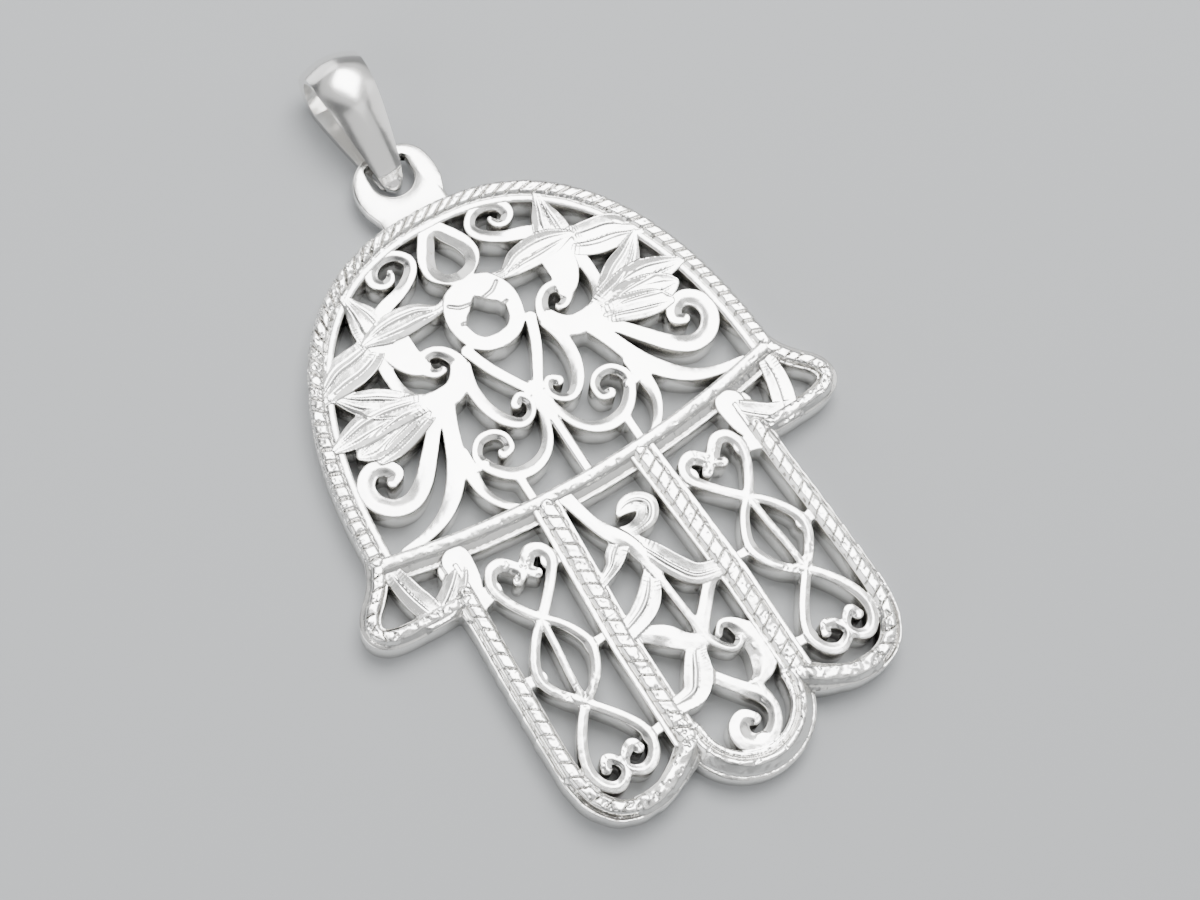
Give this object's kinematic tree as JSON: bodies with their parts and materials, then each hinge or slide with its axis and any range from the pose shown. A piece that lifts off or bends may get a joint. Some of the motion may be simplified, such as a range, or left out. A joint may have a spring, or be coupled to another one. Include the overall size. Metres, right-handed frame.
{
  "type": "hamsa pendant with bail",
  "caption": "Cast silver hamsa hand pendant, pierced with scrolls and leaves inside a rope border, with a swinging tapered bail.",
  "frame": {"origin": "middle of the band that crosses the hand, on the flat back face", "axes": "+X across the hand to its right thumb, +Y along the hand from the fingers to the eye, +Z out of the decorated front; the hand lies on its back at z=0"},
  "size_m": [0.031, 0.0491, 0.0046],
  "materials": {
    "cast_silver": "polished cast sterling silver with slightly rough recesses",
    "strip_silver": "polished sterling silver strip"
  },
  "bodies": {
    "hand_body": {"hand": "cast_silver"},
    "bail_body": {"bail": "strip_silver"}
  },
  "joints": [
    {"name": "bail_swing", "type": "hinge", "parent": "hand_body", "child": "bail_body", "pos_m": [0, 0.0234, 0.0012], "axis": [1, 0, 0], "range_deg": [-130, 100]}
  ]
}
